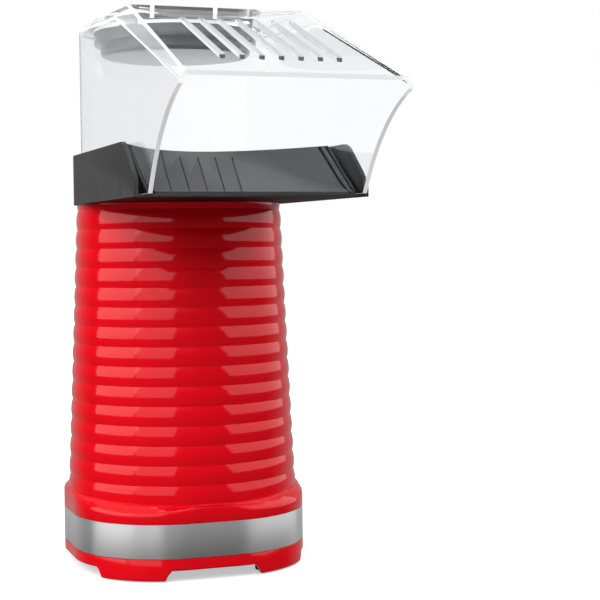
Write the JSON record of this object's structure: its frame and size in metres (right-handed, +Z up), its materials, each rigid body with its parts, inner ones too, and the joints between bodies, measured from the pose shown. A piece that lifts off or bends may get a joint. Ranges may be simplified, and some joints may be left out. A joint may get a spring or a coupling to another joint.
{
  "type": "popcorn maker",
  "caption": "Tall hot-air popcorn maker: ribbed tapered body on a banded plinth, forward chute collar, clear open-front hood and a lift-out measuring cup.",
  "frame": {"origin": "on the table under the middle of the whole, between the hood's front edge and the rear of the body; the axis of the round body stands 73.4 mm behind it, towards +Y", "axes": "+Z up along the body axis, -Y forwards along the chute, +X to the right when looking along +Y"},
  "size_m": [0.1372, 0.2902, 0.3198],
  "materials": {
    "red_plastic": "high gloss moulded plastic",
    "steel_trim": "fine brushed stainless band",
    "dark_plastic": "satin charcoal plastic",
    "clear_plastic": "clear moulded polycarbonate",
    "smoke_plastic": "smoky translucent plastic",
    "black_plastic": "fine textured black plastic",
    "foot_rubber": "matte rubber",
    "alloy": "spun aluminium",
    "zinc_steel": "zinc plated pressed steel",
    "screw_steel": "plated screw",
    "silicone": "red silicone",
    "mica": "layered mica sheet",
    "coil_wire": "heat-darkened resistance wire",
    "copper": "wound copper and laminated iron",
    "bronze": "sintered bronze",
    "magnet": "ferrite",
    "board": "circuit board",
    "pale_plastic": "natural nylon",
    "blue_wire": "wire jacket"
  },
  "bodies": {
    "housing": {"base_shell": "red_plastic", "steel_band": "steel_trim", "bottom_plate": "black_plastic", "rubber_feet": "foot_rubber", "plate_screws": "screw_steel", "motor_posts": "black_plastic", "post_screws": "screw_steel", "body_shell": "red_plastic", "body_screws": "screw_steel", "collar_tray": "dark_plastic", "chute_deck": "dark_plastic", "chute_screws": "screw_steel", "popping_chamber": "alloy", "chamber_gasket": "silicone", "heat_shield": "zinc_steel", "mica_frame": "mica", "heating_coil": "coil_wire", "thermostat": "zinc_steel", "thermal_fuse": "pale_plastic", "fan_duct": "black_plastic", "motor_bracket": "zinc_steel", "bracket_screws": "screw_steel", "motor_screws": "screw_steel", "motor_can": "zinc_steel", "motor_endcap": "pale_plastic", "motor_magnets": "magnet", "upper_bushing": "bronze", "lower_bushing": "bronze", "rectifier_board": "board", "terminal_block": "pale_plastic", "switch_leads": "blue_wire", "switch_housing": "black_plastic", "cord_gland": "black_plastic", "gland_nut": "black_plastic"},
    "rotor": {"motor_shaft": "screw_steel", "armature": "copper", "fan": "pale_plastic"},
    "hood": {"hood": "clear_plastic"},
    "cup": {"measuring_cup": "smoke_plastic"},
    "rocker": {"rocker": "black_plastic"}
  },
  "joints": [
    {"name": "hood_lift", "type": "slide", "parent": "housing", "child": "hood", "axis": [0, 0, 1], "range_m": [0, 0.04]},
    {"name": "cup_lift", "type": "slide", "parent": "hood", "child": "cup", "axis": [0, 0, 1], "range_m": [0, 0.03]},
    {"name": "fan_spin", "type": "hinge", "parent": "housing", "child": "rotor", "pos_m": [0, 0.0734, 0.07], "axis": [0, 0, 1], "continuous": true},
    {"name": "rocker_tilt", "type": "hinge", "parent": "housing", "child": "rocker", "pos_m": [0, 0.1399, 0.078], "axis": [-1, 0, 0], "range_deg": [0, 16]}
  ]
}
